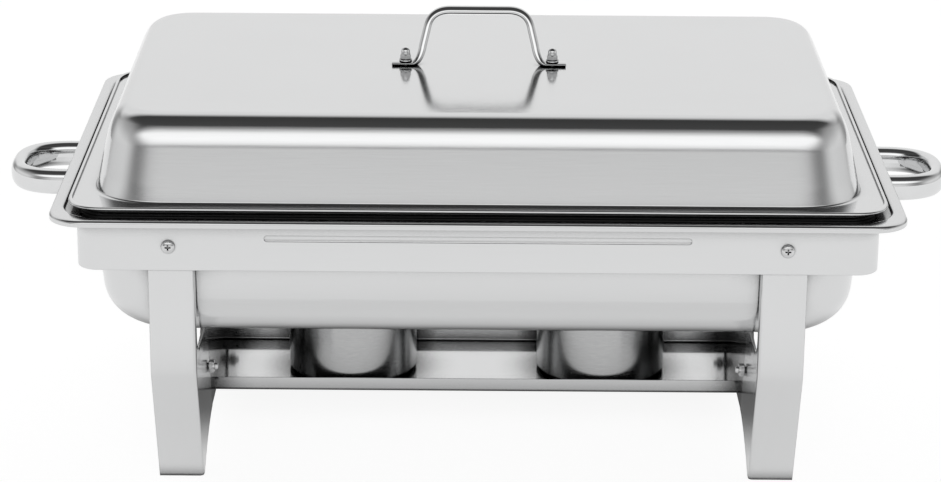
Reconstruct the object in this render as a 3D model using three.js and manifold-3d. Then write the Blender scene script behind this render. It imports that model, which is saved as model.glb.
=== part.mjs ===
// Rectangular chafing dish food warmer: a folding sheet-metal frame that carries a water pan,
// a food pan and a lid, over a tray with two fuel cups.
// Millimetres. Origin at the bottom centre, +X along the length, -Y is the front, +Z up.

import * as THREE from "three";
import { mergeVertices } from "three/addons/utils/BufferGeometryUtils.js";
import Module from "manifold-3d";

// ---------- driving dimensions ----------

const GAP = 0.3; // clearance between touching pieces
const ROUND_STEPS = 32; // sides of the cups and their covers

const RING = { halfX: 268, halfY: 163, corner: 11, bottom: 150, top: 186.6, sheet: 1.2 };
const RING_HEM = { width: 2, depth: 1.6 };
const GROOVE = { halfLength: 140, height: 4.5, centreZ: 173, depth: 0.5 };

const PIVOT = { x: 206, z: 167, tipY: 156 };
const LEG = { inner: 189, outer: 220, creaseZ: 75, top: 181, flangeTop: 150, sheet: 1.2 };
const LEG_SLANT = { x: 3, y: 2.5, taper: 1.3 }; // how far the foot moves in from the crease down
const LEG_FACE_Y = RING.halfY - RING.sheet - GAP;
const WEB = { returnDepth: 7, reachY: 76, top: 88, low: 15, sweep: 45, footDepth: 9 };
const WEB_BOLT = { y: 89, z: 53 };
const PANEL = { halfY: 105, notchY: 53, sillZ: 20.2, top: 86, low: 9, ledge: 9.5, round: 6 };

const TRAY = { halfX: 199, halfY: 50, floorZ: 20.6, sheet: 1, lip: 9, mitre: 4 };
const CUP = { x: 90, radius: 47, height: 58, sheet: 0.9 };
const COVER = { radius: 46, hole: 22, sheet: 0.9, skirt: 6 };
const DAMPER = { radius: 24.5, sheet: 1, pivotY: 33, tab: 14 };

const WATER = { halfX: 285, halfY: 180, bottom: 94, belly: 35, sheet: 1 };
const RIM_TOP = 190;
const RECESS_TOP = 188;
const FOOD = { halfX: 265, halfY: 162.5, top: 192.8, depth: 65, sheet: 0.8 };
const LID = { halfX: 273.5, halfY: 168.5, flangeZ: FOOD.top + GAP, top: 250, edge: 22, sheet: 0.8 };
const LID_WALL_LEAN = 13; // degrees off the vertical
const LID_PANEL = { halfX: 180, halfY: 84, corner: 44, slope: 3, rise: 0.7 };

const BAIL = { footX: 61, footY: -10, legX: 37.5, barZ: 287.2, bar: 5.4, boltX: 51.5 };
const BAIL_FOOT = { flat: 2.6, width: 9, start: 5, blend: 5, rise: 12 };
const BAIL_SHOULDER = { drop: 11, inset: 14, taper: 3, pull: 2.5 };
const BAIL_LEAN = 14; // how far back the top bar stands from the feet
const END_HANDLE = { reach: 333, halfY: 40, centreZ: 170, thick: 12, tall: 18 };
const END_BEND = { alongX: 34, alongY: 30, pullX: 10, pullY: 12 };

const ACORN = { flats: 7.4, hexHeight: 3.6, dome: 3.1, rise: 4.8 };
const M5 = { shank: 2.4, hole: 2.7, head: 4.5, headHeight: 2.6, nutFlats: 8, nutHeight: 2.7 };

// ---------- materials ----------

const FINISH = {
  mirror: { color: 0xd9dadb, roughness: 0.12, metalness: 1 },
  satin: { color: 0xcfd0d1, roughness: 0.3, metalness: 1 },
  brushed: { color: 0xb9babb, roughness: 0.38, metalness: 1 },
  plated: { color: 0xc4c5c7, roughness: 0.18, metalness: 1 },
};

// ---------- solids ----------

const wasm = await Module();
wasm.setup();

function toSolid(geometry) {
  const flat = geometry.index ? geometry.toNonIndexed() : geometry;
  const bare = new THREE.BufferGeometry();
  bare.setAttribute("position", flat.getAttribute("position"));
  const merged = mergeVertices(bare, 1e-4);
  const mesh = new wasm.Mesh({
    numProp: 3,
    vertProperties: merged.attributes.position.array,
    triVerts: new Uint32Array(merged.index.array),
  });
  return new wasm.Manifold(mesh);
}

function toGeometry(solid) {
  const mesh = solid.getMesh();
  const geometry = new THREE.BufferGeometry();
  geometry.setAttribute("position", new THREE.BufferAttribute(mesh.vertProperties, 3));
  geometry.setIndex(new THREE.BufferAttribute(mesh.triVerts, 1));
  geometry.computeVertexNormals();
  return geometry;
}

const part = new THREE.Group();

function addPiece(name, solid, finish, flip = [1, 1]) {
  const mesh = new THREE.Mesh(toGeometry(solid), new THREE.MeshStandardMaterial(FINISH[finish]));
  mesh.name = name;
  mesh.scale.set(flip[0], flip[1], 1);
  part.add(mesh);
}

const union = (solids) => solids.reduce((a, b) => a.add(b));

// ---------- shapes ----------

const shapeOf = (points) => new THREE.Shape(points.map(([a, b]) => new THREE.Vector2(a, b)));

// A flat outline in (x, z) pushed along Y from y0 to y1.
function alongY(shape, y0, y1, steps = 8) {
  const geometry = new THREE.ExtrudeGeometry(shape, {
    depth: y1 - y0,
    bevelEnabled: false,
    curveSegments: steps,
  });
  geometry.rotateX(Math.PI / 2);
  geometry.translate(0, y1, 0);
  return toSolid(geometry);
}

// A flat outline in (y, z) pushed along X from x0 to x1.
function alongX(shape, x0, x1, steps = 8) {
  const geometry = new THREE.ExtrudeGeometry(shape, {
    depth: x1 - x0,
    bevelEnabled: false,
    curveSegments: steps,
  });
  geometry.rotateX(Math.PI / 2);
  geometry.rotateZ(Math.PI / 2);
  geometry.translate(x0, 0, 0);
  return toSolid(geometry);
}

function block(x0, x1, y0, y1, z0, z1) {
  const geometry = new THREE.BoxGeometry(x1 - x0, y1 - y0, z1 - z0);
  geometry.translate((x0 + x1) / 2, (y0 + y1) / 2, (z0 + z1) / 2);
  return toSolid(geometry);
}

// A round or many-sided rod along an axis from the point `from`, `length` long.
function rod(axis, from, length, radius, sides = 12) {
  const geometry = new THREE.CylinderGeometry(radius, radius, length, sides);
  geometry.translate(0, length / 2, 0);
  if (axis === "x") geometry.rotateZ(-Math.PI / 2);
  if (axis === "z") geometry.rotateX(Math.PI / 2);
  geometry.translate(from[0], from[1], from[2]);
  return toSolid(geometry);
}

function turned(profile, segments) {
  const points = profile.map(([r, z]) => new THREE.Vector2(r, z));
  const geometry = new THREE.LatheGeometry(points, segments);
  geometry.rotateX(Math.PI / 2);
  return toSolid(geometry);
}

// ---------- pressed sheet shells ----------

// Points round a rectangle with round corners, counter-clockwise seen from above.
function ringPoints({ x, y, r, z }, cornerSteps) {
  const points = [];
  const centres = [
    [x - r, y - r],
    [r - x, y - r],
    [r - x, r - y],
    [x - r, r - y],
  ];
  centres.forEach(([cx, cy], quarter) => {
    for (let i = 0; i <= cornerSteps; i++) {
      const angle = ((quarter + i / cornerSteps) * Math.PI) / 2;
      points.push([cx + r * Math.cos(angle), cy + r * Math.sin(angle), z]);
    }
  });
  return points;
}

// Skins a list of rings. An open list is capped at both ends, a closed one joins its ends.
function skin(rings, { closed = false, cornerSteps = 5 } = {}) {
  const loops = rings.map((ring) => ringPoints(ring, cornerSteps));
  const count = loops[0].length;
  const positions = loops.flat();
  const faces = [];
  const last = closed ? loops.length : loops.length - 1;
  for (let i = 0; i < last; i++) {
    const lower = i * count;
    const upper = ((i + 1) % loops.length) * count;
    for (let j = 0; j < count; j++) {
      const next = (j + 1) % count;
      faces.push(lower + j, lower + next, upper + next);
      faces.push(lower + j, upper + next, upper + j);
    }
  }
  if (!closed) {
    const start = positions.push([0, 0, rings[0].z]) - 1;
    const end = positions.push([0, 0, rings[rings.length - 1].z]) - 1;
    const top = (loops.length - 1) * count;
    for (let j = 0; j < count; j++) {
      const next = (j + 1) % count;
      faces.push(start, next, j);
      faces.push(end, top + j, top + next);
    }
  }
  const geometry = new THREE.BufferGeometry();
  geometry.setAttribute("position", new THREE.Float32BufferAttribute(positions.flat(), 3));
  geometry.setIndex(faces);
  return toSolid(geometry);
}

// Points [u, z, r] along a quarter bend; u is the offset outwards from the nominal outline.
function bend([cu, cz], radius, fromDeg, toDeg, [r0, r1], steps) {
  return Array.from({ length: steps + 1 }, (_, i) => {
    const t = i / steps;
    const angle = THREE.MathUtils.degToRad(fromDeg + (toDeg - fromDeg) * t);
    return [cu + radius * Math.cos(angle), cz + radius * Math.sin(angle), r0 + (r1 - r0) * t];
  });
}

// The same path moved to its left by the sheet's thickness, with mitred corners.
function offsetPath(path, distance) {
  return path.map(([u, z, r], i) => {
    const before = path[Math.max(i - 1, 0)];
    const after = path[Math.min(i + 1, path.length - 1)];
    const a = new THREE.Vector2(u - before[0], z - before[1]).normalize();
    const b = new THREE.Vector2(after[0] - u, after[1] - z).normalize();
    if (i === 0) a.copy(b);
    if (i === path.length - 1) b.copy(a);
    const mitre = new THREE.Vector2(-a.y - b.y, a.x + b.x);
    mitre.multiplyScalar((2 * distance) / mitre.lengthSq());
    return [u + mitre.x, z + mitre.y, r];
  });
}

// A shell of even sheet: path [u, z, r] is the face on its right-hand side, from the middle outwards.
function sheetShell({ halfX, halfY, sheet }, path, bead = []) {
  const section = [...path, ...bead, ...offsetPath(path, sheet).reverse()];
  return skin(section.map(([u, z, r]) => ({ x: halfX + u, y: halfY + u, r, z })));
}

function waterPan() {
  const wallU = -29;
  const bottomZ = WATER.bottom;
  const under = RECESS_TOP - WATER.sheet;
  return sheetShell(WATER, [
    ...bend([wallU - WATER.belly, bottomZ + WATER.belly], WATER.belly, -90, -3, [24, 42], 6),
    [-23.8, 182.5, 42],
    [-22.6, 186, 40],
    [-20.4, under, 38],
    [-8.8, under, 26],
    [-7.2, RIM_TOP - WATER.sheet, 25],
    [-2.2, RIM_TOP - WATER.sheet, 23],
    [-WATER.sheet, RIM_TOP - 2.2, 24],
    [-WATER.sheet, RIM_TOP - 3.2, 24],
  ]);
}

function foodPan() {
  const wallRadius = 18;
  const floorZ = FOOD.top - FOOD.depth;
  const under = FOOD.top - FOOD.sheet;
  return sheetShell(FOOD, [
    ...bend([-19 - wallRadius, floorZ + wallRadius], wallRadius, -90, -5, [20, 34], 4),
    [-13.6, 187, 32],
    [-12.6, 190.6, 31],
    [-10, under, 30],
    [-1.9, under, 18],
    [-FOOD.sheet, under - 1, 18],
    [-FOOD.sheet, RECESS_TOP + GAP, 18],
  ]);
}

function lid() {
  const inside = LID.top - LID.sheet;
  const edge = LID.edge;
  const step = LID_PANEL.rise;
  const flange = LID.flangeZ;
  const shell = sheetShell(
    LID,
    [
      [-44, inside, 20],
      ...bend([-22.6 - edge, inside - edge], edge, 84, LID_WALL_LEAN, [20, 36], 5),
      [-14.8, flange + 3, 42],
      [-14.2, flange + 1.2, 42],
      [-13, flange, 42],
      [-2.6, flange, 24],
    ],
    bend([-1.3, flange + 1.3], 1.3, -90, 115, [23, 23], 4),
  );
  const { halfX, halfY, corner, slope } = LID_PANEL;
  const panel = skin([
    { x: halfX, y: halfY, r: corner, z: LID.top - LID.sheet / 2 },
    { x: halfX - slope, y: halfY - slope, r: corner - slope, z: LID.top + step },
  ]);
  const holes = [-1, 1].map((side) =>
    rod("z", [side * BAIL.boltX, BAIL.footY, LID.top - 5], 10, M5.hole),
  );
  return shell.add(panel).subtract(union(holes));
}

// ---------- frame ----------

function frameRing() {
  const outline = [
    [0, RING.bottom],
    [0, RING.top],
    [-RING.sheet - RING_HEM.width, RING.top],
    [-RING.sheet - RING_HEM.width, RING.top - RING_HEM.depth],
    [-RING.sheet, RING.top - RING_HEM.depth],
    [-RING.sheet, RING.bottom],
  ];
  const rings = outline.map(([u, z]) => ({
    x: RING.halfX + u,
    y: RING.halfY + u,
    r: RING.corner + u,
    z,
  }));
  let ring = skin(rings, { closed: true });
  for (const side of [-1, 1]) {
    ring = ring.subtract(swage(side));
    for (const end of [-1, 1]) {
      const y = side * RING.halfY - 5;
      ring = ring.subtract(rod("y", [end * PIVOT.x, y, PIVOT.z], 10, M5.hole));
      const x = end * RING.halfX - 5;
      const handleY = side * (END_HANDLE.halfY - END_HANDLE.thick / 2);
      ring = ring.subtract(rod("x", [x, handleY, END_HANDLE.centreZ], 10, M5.hole));
    }
  }
  return ring;
}

// The long shallow groove pressed into each side rail.
function swage(side) {
  const radius = GROOVE.height / 2;
  const shape = new THREE.Shape();
  shape.absarc(GROOVE.halfLength, GROOVE.centreZ, radius, -Math.PI / 2, Math.PI / 2);
  shape.absarc(-GROOVE.halfLength, GROOVE.centreZ, radius, Math.PI / 2, Math.PI * 1.5);
  const face = side * RING.halfY;
  return alongY(shape, face - GROOVE.depth, face + GROOVE.depth, 6);
}

// The height of the legs' lean at z: 0 above the crease and 1 at the floor.
const lean = (z) => Math.max(0, (LEG.creaseZ - z) / LEG.creaseZ);

// A strip of sheet that leans below the crease; `at` is its near face above the crease.
function leaningStrip(at, thickness, slant, top) {
  return shapeOf([
    [at, top],
    [at, LEG.creaseZ],
    [at + slant, 0],
    [at + slant + thickness, 0],
    [at + thickness, LEG.creaseZ],
    [at + thickness, top],
  ]);
}

// The front leg of the +X end: a face behind the rail and a side flange that widens into the web.
function legBracket() {
  const face = alongX(
    leaningStrip(-LEG_FACE_Y, LEG.sheet, LEG_SLANT.y, LEG.top),
    LEG.inner - 10,
    LEG.outer + 10,
  );
  const slant = LEG_SLANT.x;
  const faceOutline = shapeOf([
    [LEG.inner, LEG.creaseZ],
    [LEG.inner, PIVOT.z + 4],
    [LEG.inner + 4.5, PIVOT.z + 12.2],
    [LEG.inner + 11, LEG.top],
    [LEG.outer - 8, LEG.top],
    [LEG.outer - 2.5, PIVOT.z + 11],
    [LEG.outer, PIVOT.z + 4],
    [LEG.outer, LEG.creaseZ],
    [LEG.outer - slant * LEG_SLANT.taper, 0],
    [LEG.inner - slant, 0],
  ]);
  const flange = alongY(
    leaningStrip(LEG.inner, LEG.sheet, -slant, LEG.flangeTop),
    -LEG_FACE_Y,
    -WEB.reachY,
  );
  const outer = -LEG_FACE_Y;
  const foot = outer + LEG_SLANT.y;
  const web = new THREE.Shape();
  web.moveTo(foot, 0);
  web.lineTo(outer, LEG.creaseZ);
  web.lineTo(outer, LEG.flangeTop);
  const neck = outer + WEB.returnDepth;
  web.lineTo(neck, LEG.flangeTop);
  web.lineTo(neck, WEB.top + 12);
  web.quadraticCurveTo(neck, WEB.top, neck + 14, WEB.top);
  web.lineTo(-WEB.reachY, WEB.top);
  web.lineTo(-WEB.reachY, WEB.low + 3);
  web.quadraticCurveTo(-WEB.reachY - WEB.sweep, WEB.low, foot + WEB.footDepth, 0);
  const faceHole = rod("y", [PIVOT.x, -LEG_FACE_Y - 5, PIVOT.z], 12, M5.hole);
  const webHole = rod("x", [LEG.inner - 8, -WEB_BOLT.y, WEB_BOLT.z], 16, M5.hole);
  return face
    .intersect(alongY(faceOutline, -LEG_FACE_Y - 5, -LEG_FACE_Y + 10))
    .add(flange.intersect(alongX(web, LEG.inner - 10, LEG.inner + 10)))
    .subtract(faceHole.add(webHole));
}

// The panel that joins the two legs of the +X end, with a notch for the tray and a ledge under it.
function crossPanel() {
  const at = LEG.inner + LEG.sheet + GAP;
  const sheet = alongY(
    leaningStrip(at, LEG.sheet, -LEG_SLANT.x, PANEL.top),
    -PANEL.halfY,
    PANEL.halfY,
  );
  const { halfY, notchY, sillZ, top, low, round } = PANEL;
  const outline = new THREE.Shape();
  outline.moveTo(halfY, low + round);
  outline.lineTo(halfY, top - round);
  outline.quadraticCurveTo(halfY, top, halfY - round, top);
  outline.lineTo(notchY + round, top);
  outline.quadraticCurveTo(notchY, top, notchY, top - round);
  outline.lineTo(notchY, sillZ);
  outline.lineTo(-notchY, sillZ);
  outline.lineTo(-notchY, top - round);
  outline.quadraticCurveTo(-notchY, top, -notchY - round, top);
  outline.lineTo(-halfY + round, top);
  outline.quadraticCurveTo(-halfY, top, -halfY, top - round);
  outline.lineTo(-halfY, low + round);
  outline.quadraticCurveTo(0, low, halfY, low + round);
  const sill = at - LEG_SLANT.x * lean(sillZ);
  const ledge = block(sill, sill + PANEL.ledge, -notchY + 1, notchY - 1, sillZ - LEG.sheet, sillZ);
  const holes = [-1, 1].map((side) =>
    rod("x", [LEG.inner - 8, side * WEB_BOLT.y, WEB_BOLT.z], 16, M5.hole),
  );
  return sheet
    .intersect(alongX(outline, LEG.inner - 10, LEG.inner + 10))
    .add(ledge)
    .subtract(union(holes));
}

// ---------- fasteners ----------

// A cross-recessed screw along +Y whose head is at the front.
function panScrew(length) {
  const { head, headHeight, shank } = M5;
  const screw = turned(
    [
      [0, 0],
      [head * 0.62, 0],
      [head * 0.9, headHeight * 0.35],
      [head, headHeight * 0.75],
      [head, headHeight],
      [shank, headHeight],
      [shank, headHeight + length],
      [0, headHeight + length],
    ],
    12,
  );
  const slot = 0.55;
  const reach = head * 0.5;
  const deep = 1.2;
  const bar = block(-reach, reach, -slot, slot, -1, deep);
  const cross = bar.add(block(-slot, slot, -reach, reach, -1, deep));
  return screw.subtract(cross).rotate([-90, 0, 0]);
}

function hexNut(height, hole) {
  const sides = 6;
  const radius = M5.nutFlats / 2 / Math.cos(Math.PI / sides);
  const body = rod("z", [0, 0, 0], height, radius, sides);
  return body.subtract(rod("z", [0, 0, -1], height + 2, hole));
}

function washer(height, radius) {
  const ring = rod("z", [0, 0, 0], height, radius, 16);
  return ring.subtract(rod("z", [0, 0, -1], height + 2, M5.hole));
}

function pivotFasteners() {
  const legInside = LEG_FACE_Y - LEG.sheet;
  const washerY = legInside - GAP;
  const washerHeight = 0.8;
  const nutY = washerY - washerHeight - GAP;
  const headY = RING.halfY + GAP + M5.headHeight;
  const screw = panScrew(RING.halfY - PIVOT.tipY + GAP).translate([PIVOT.x, -headY, PIVOT.z]);
  const toFront = (solid, y) => solid.rotate([90, 0, 0]).translate([PIVOT.x, -y, PIVOT.z]);
  const ring = toFront(washer(washerHeight, 5), washerY - washerHeight);
  const nut = toFront(hexNut(M5.nutHeight, M5.hole), nutY - M5.nutHeight);
  eachCorner((corner, flip) => {
    addPiece(`pivot_screw_${corner}`, screw, "plated", flip);
    addPiece(`pivot_washer_${corner}`, ring, "plated", flip);
    addPiece(`pivot_nut_${corner}`, nut, "plated", flip);
  });
}

function webFasteners() {
  const clear = 0.6;
  const outside = LEG.inner + 2 * LEG.sheet + GAP - LEG_SLANT.x * lean(WEB_BOLT.z);
  const inside = LEG.inner - LEG_SLANT.x * lean(WEB_BOLT.z);
  const headX = outside + clear;
  const length = headX - inside + 7;
  const bolt = rod("x", [headX, 0, 0], M5.headHeight, M5.head)
    .add(rod("x", [headX - length, 0, 0], length + 1, M5.shank))
    .translate([0, -WEB_BOLT.y, WEB_BOLT.z]);
  const nut = hexNut(4, M5.hole)
    .rotate([0, 90, 0])
    .translate([inside - clear - 4, -WEB_BOLT.y, WEB_BOLT.z]);
  eachCorner((corner, flip) => {
    addPiece(`web_bolt_${corner}`, bolt, "plated", flip);
    addPiece(`web_nut_${corner}`, nut, "plated", flip);
  });
}

// Calls back for each corner with its name and the X and Y flips from the front right one.
function eachCorner(callback) {
  for (const [endName, flipX] of [["left", -1], ["right", 1]]) {
    for (const [sideName, flipY] of [["front", 1], ["rear", -1]]) {
      callback(`${sideName}_${endName}`, [flipX, flipY]);
    }
  }
}

// ---------- handles ----------

// A loop of oval bar at the +X end, with a blind hole in each end for its screw.
function endHandle() {
  const { reach, halfY, centreZ, thick, tall } = END_HANDLE;
  const start = RING.halfX + GAP;
  const y = halfY - thick / 2;
  const x = reach - thick / 2;
  const section = new THREE.Shape();
  section.absellipse(0, 0, tall / 2, thick / 2, 0, Math.PI * 2);
  const path = new THREE.CurvePath();
  const { alongX: bendX, alongY: bendY, pullX, pullY } = END_BEND;
  const at = (px, py) => new THREE.Vector3(px, py, centreZ);
  const bendFrom = [at(x - bendX, -y), at(x - pullX, -y), at(x, pullY - y), at(x, bendY - y)];
  const bendTo = [at(x, y - bendY), at(x, y - pullY), at(x - pullX, y), at(x - bendX, y)];
  path.add(new THREE.LineCurve3(at(start, -y), bendFrom[0]));
  path.add(new THREE.CubicBezierCurve3(...bendFrom));
  path.add(new THREE.LineCurve3(bendFrom[3], bendTo[0]));
  path.add(new THREE.CubicBezierCurve3(...bendTo));
  path.add(new THREE.LineCurve3(bendTo[3], at(start, y)));
  const bar = new THREE.ExtrudeGeometry(section, {
    steps: 26,
    curveSegments: 5,
    extrudePath: path,
  });
  const holes = [-1, 1].map((side) => rod("x", [start - 1, side * y, centreZ], 13, M5.hole));
  return toSolid(bar).subtract(union(holes));
}

function endHandles() {
  const y = END_HANDLE.halfY - END_HANDLE.thick / 2;
  const headX = RING.halfX - RING.sheet - GAP - M5.headHeight;
  const screw = panScrew(11).rotate([0, 0, -90]).translate([headX, 0, END_HANDLE.centreZ]);
  for (const [name, flip] of [["left", -1], ["right", 1]]) {
    addPiece(`end_handle_${name}`, endHandle(), "mirror", [flip, 1]);
    addPiece(`end_handle_screw_front_${name}`, screw.translate([0, -y, 0]), "plated", [flip, 1]);
    addPiece(`end_handle_screw_rear_${name}`, screw.translate([0, y, 0]), "plated", [flip, 1]);
  }
}

// A round bar bent to an arch whose ends are hammered flat for the bolts.
function bail() {
  const { footX, footY, legX, barZ, bar, boltX } = BAIL;
  const { flat, width, start, blend, rise } = BAIL_FOOT;
  const { drop, inset, taper, pull } = BAIL_SHOULDER;
  const footZ = LID.top + LID_PANEL.rise + GAP + flat / 2;
  const path = new THREE.CurvePath();
  for (const side of [-1, 1]) {
    const at = (x, z) => new THREE.Vector3(side * x, 0, z);
    const footEnd = at(boltX - start, footZ);
    const legFoot = at(legX, footZ + rise);
    const legTop = at(legX - taper, barZ - drop);
    const barEnd = at(legX - taper - inset, barZ);
    const pieces = [
      new THREE.LineCurve3(at(footX, footZ), footEnd),
      new THREE.QuadraticBezierCurve3(footEnd, at(legX + 2, footZ), legFoot),
      new THREE.LineCurve3(legFoot, legTop),
      new THREE.QuadraticBezierCurve3(legTop, at(legX - taper - pull, barZ), barEnd),
      new THREE.LineCurve3(barEnd, at(0, barZ)),
    ];
    if (side > 0) {
      pieces.reverse();
      pieces.forEach((piece) => path.add(backwards(piece)));
    } else {
      pieces.forEach((piece) => path.add(piece));
    }
  }
  const section = new THREE.Shape();
  section.absellipse(0, 0, bar / 2, bar / 2, 0, Math.PI * 2);
  const round = new THREE.ExtrudeGeometry(section, {
    steps: 44,
    curveSegments: 5,
    extrudePath: path,
  });
  const leaned = toSolid(round).warp((v) => {
    const share = THREE.MathUtils.smoothstep(Math.abs(v[0]), boltX - start - blend, boltX - start);
    v[1] *= 1 + share * (width / bar - 1);
    v[2] = footZ + (v[2] - footZ) * (1 + share * (flat / bar - 1));
    v[1] += footY + BAIL_LEAN * Math.max(0, (v[2] - footZ - flat / 2) / (barZ - footZ));
  });
  const holes = [-1, 1].map((side) => rod("z", [side * boltX, footY, LID.top - 5], 20, M5.hole));
  return leaned.subtract(union(holes));
}

// The same curve run from its end to its start.
function backwards(curve) {
  const turned = curve.clone();
  const ends = curve.isLineCurve3 ? ["v1", "v2"] : ["v0", "v2"];
  turned[ends[0]].copy(curve[ends[1]]);
  turned[ends[1]].copy(curve[ends[0]]);
  return turned;
}

function acornNut(hole) {
  const { flats, hexHeight, dome: radius, rise } = ACORN;
  const hex = rod("z", [0, 0, 0], hexHeight, flats / 2 / Math.cos(Math.PI / 6), 6);
  const dome = turned(
    [
      [0, 1],
      [radius, 1],
      [radius, hexHeight + rise * 0.35],
      [radius * 0.8, hexHeight + rise * 0.75],
      [radius * 0.4, hexHeight + rise * 0.96],
      [0, hexHeight + rise],
    ],
    12,
  );
  return hex.add(dome).subtract(rod("z", [0, 0, -1], hexHeight + 2, hole));
}

function bailFasteners() {
  const underLid = LID.top - LID.sheet - GAP;
  const footTop = LID.top + LID_PANEL.rise + GAP + BAIL_FOOT.flat;
  const washerHeight = 1;
  const nutZ = footTop + GAP + washerHeight + GAP;
  const bolt = rod("z", [0, 0, underLid - M5.headHeight], M5.headHeight, M5.head)
    .add(rod("z", [0, 0, underLid - 1], nutZ + 4 - underLid, M5.shank));
  for (const [name, side] of [["left", -1], ["right", 1]]) {
    const spot = (z) => [side * BAIL.boltX, BAIL.footY, z];
    addPiece(`bail_bolt_${name}`, bolt.translate(spot(0)), "plated");
    addPiece(`bail_washer_${name}`, washer(washerHeight, 4.5).translate(spot(footTop + GAP)), "plated");
    addPiece(`bail_acorn_nut_${name}`, acornNut(M5.hole).translate(spot(nutZ)), "plated");
  }
}

// ---------- burner tray and cups ----------

function burnerTray() {
  const { halfX, halfY, floorZ, sheet, lip, mitre } = TRAY;
  const top = floorZ + lip;
  const section = shapeOf([
    [-halfY, top],
    [-halfY, floorZ],
    [halfY, floorZ],
    [halfY, top],
    [halfY - sheet, top],
    [halfY - sheet, floorZ + sheet],
    [sheet - halfY, floorZ + sheet],
    [sheet - halfY, top],
  ]);
  const side = shapeOf([
    [-halfX, floorZ - 1],
    [halfX, floorZ - 1],
    [halfX, floorZ + sheet],
    [halfX - mitre, top + 1],
    [mitre - halfX, top + 1],
    [-halfX, floorZ + sheet],
  ]);
  return alongX(section, -halfX, halfX).intersect(alongY(side, -halfY - 1, halfY + 1));
}

function fuelCup(baseZ) {
  const { radius, height, sheet } = CUP;
  const top = baseZ + height;
  return turned(
    [
      [0, baseZ],
      [radius - 3.5, baseZ],
      [radius - 1.6, baseZ + 0.9],
      [radius - 0.6, baseZ + 3],
      [radius - 0.6, top - 2.4],
      [radius, top - 1.6],
      [radius, top - 0.4],
      [radius - 0.6, top],
      [radius - 0.6 - sheet, top - 0.2],
      [radius - 0.6 - sheet, baseZ + 3.6],
      [radius - 3.6, baseZ + sheet],
      [0, baseZ + sheet],
    ],
    ROUND_STEPS,
  );
}

// A flat ring that lies on the cup's rim, with a skirt inside it and a hole for the damper's rivet.
function cupCover(baseZ) {
  const { radius, hole, sheet, skirt } = COVER;
  const inner = CUP.radius - 0.6 - CUP.sheet - GAP;
  const ring = turned(
    [
      [hole, baseZ],
      [inner - sheet, baseZ],
      [inner - sheet, baseZ - skirt],
      [inner, baseZ - skirt],
      [inner, baseZ],
      [radius, baseZ],
      [radius, baseZ + sheet],
      [hole, baseZ + sheet],
      [hole, baseZ],
    ],
    ROUND_STEPS,
  );
  return ring.subtract(rod("z", [0, DAMPER.pivotY, baseZ - 2], 5, M5.hole * 0.6));
}

function damper(baseZ) {
  const { radius, sheet, pivotY, tab } = DAMPER;
  const disc = rod("z", [0, 0, baseZ], sheet, radius, ROUND_STEPS);
  const arm = block(-5, 5, radius - 4, pivotY, baseZ, baseZ + sheet);
  const eye = rod("z", [0, pivotY, baseZ], sheet, 5);
  const lift = block(-4, 4, -radius - tab + 6, 4 - radius, baseZ, baseZ + sheet);
  const hole = rod("z", [0, pivotY, baseZ - 1], sheet + 2, M5.hole * 0.6);
  return union([disc, arm, eye, lift]).subtract(hole);
}

function damperRivet(coverZ, damperTop) {
  const shank = 1.3;
  const head = 3;
  const below = coverZ - GAP;
  const above = damperTop + GAP;
  return turned(
    [
      [0, below - 0.9],
      [head, below - 0.9],
      [head, below],
      [shank, below],
      [shank, above],
      [head, above],
      [head * 0.7, above + 0.9],
      [0, above + 1.1],
    ],
    12,
  ).translate([0, DAMPER.pivotY, 0]);
}

function burners() {
  const cupZ = TRAY.floorZ + TRAY.sheet + GAP;
  const coverZ = cupZ + CUP.height + GAP;
  const damperZ = coverZ + COVER.sheet + GAP;
  for (const [name, side] of [["left", -1], ["right", 1]]) {
    const place = [side * CUP.x, 0, 0];
    addPiece(`fuel_cup_${name}`, fuelCup(cupZ).translate(place), "brushed");
    addPiece(`cup_cover_${name}`, cupCover(coverZ).translate(place), "brushed");
    addPiece(`damper_${name}`, damper(damperZ).translate(place), "satin");
    const rivet = damperRivet(coverZ, damperZ + DAMPER.sheet);
    addPiece(`damper_rivet_${name}`, rivet.translate(place), "plated");
  }
}

// ---------- assembly ----------

addPiece("frame_ring", frameRing(), "satin");
const leg = legBracket();
eachCorner((corner, flip) => addPiece(`leg_${corner}`, leg, "satin", flip));
const panel = crossPanel();
addPiece("cross_panel_left", panel, "satin", [-1, 1]);
addPiece("cross_panel_right", panel, "satin");
pivotFasteners();
webFasteners();
endHandles();
addPiece("burner_tray", burnerTray(), "mirror");
burners();
addPiece("water_pan", waterPan(), "satin");
addPiece("food_pan", foodPan(), "mirror");
addPiece("lid", lid(), "mirror");
addPiece("lid_bail", bail(), "mirror");
bailFasteners();

export default part;
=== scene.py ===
"""Looks for the rectangular chafing dish: formed sheet-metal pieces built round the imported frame."""

import math

import bmesh
import bpy
from mathutils import Matrix, Vector


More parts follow.
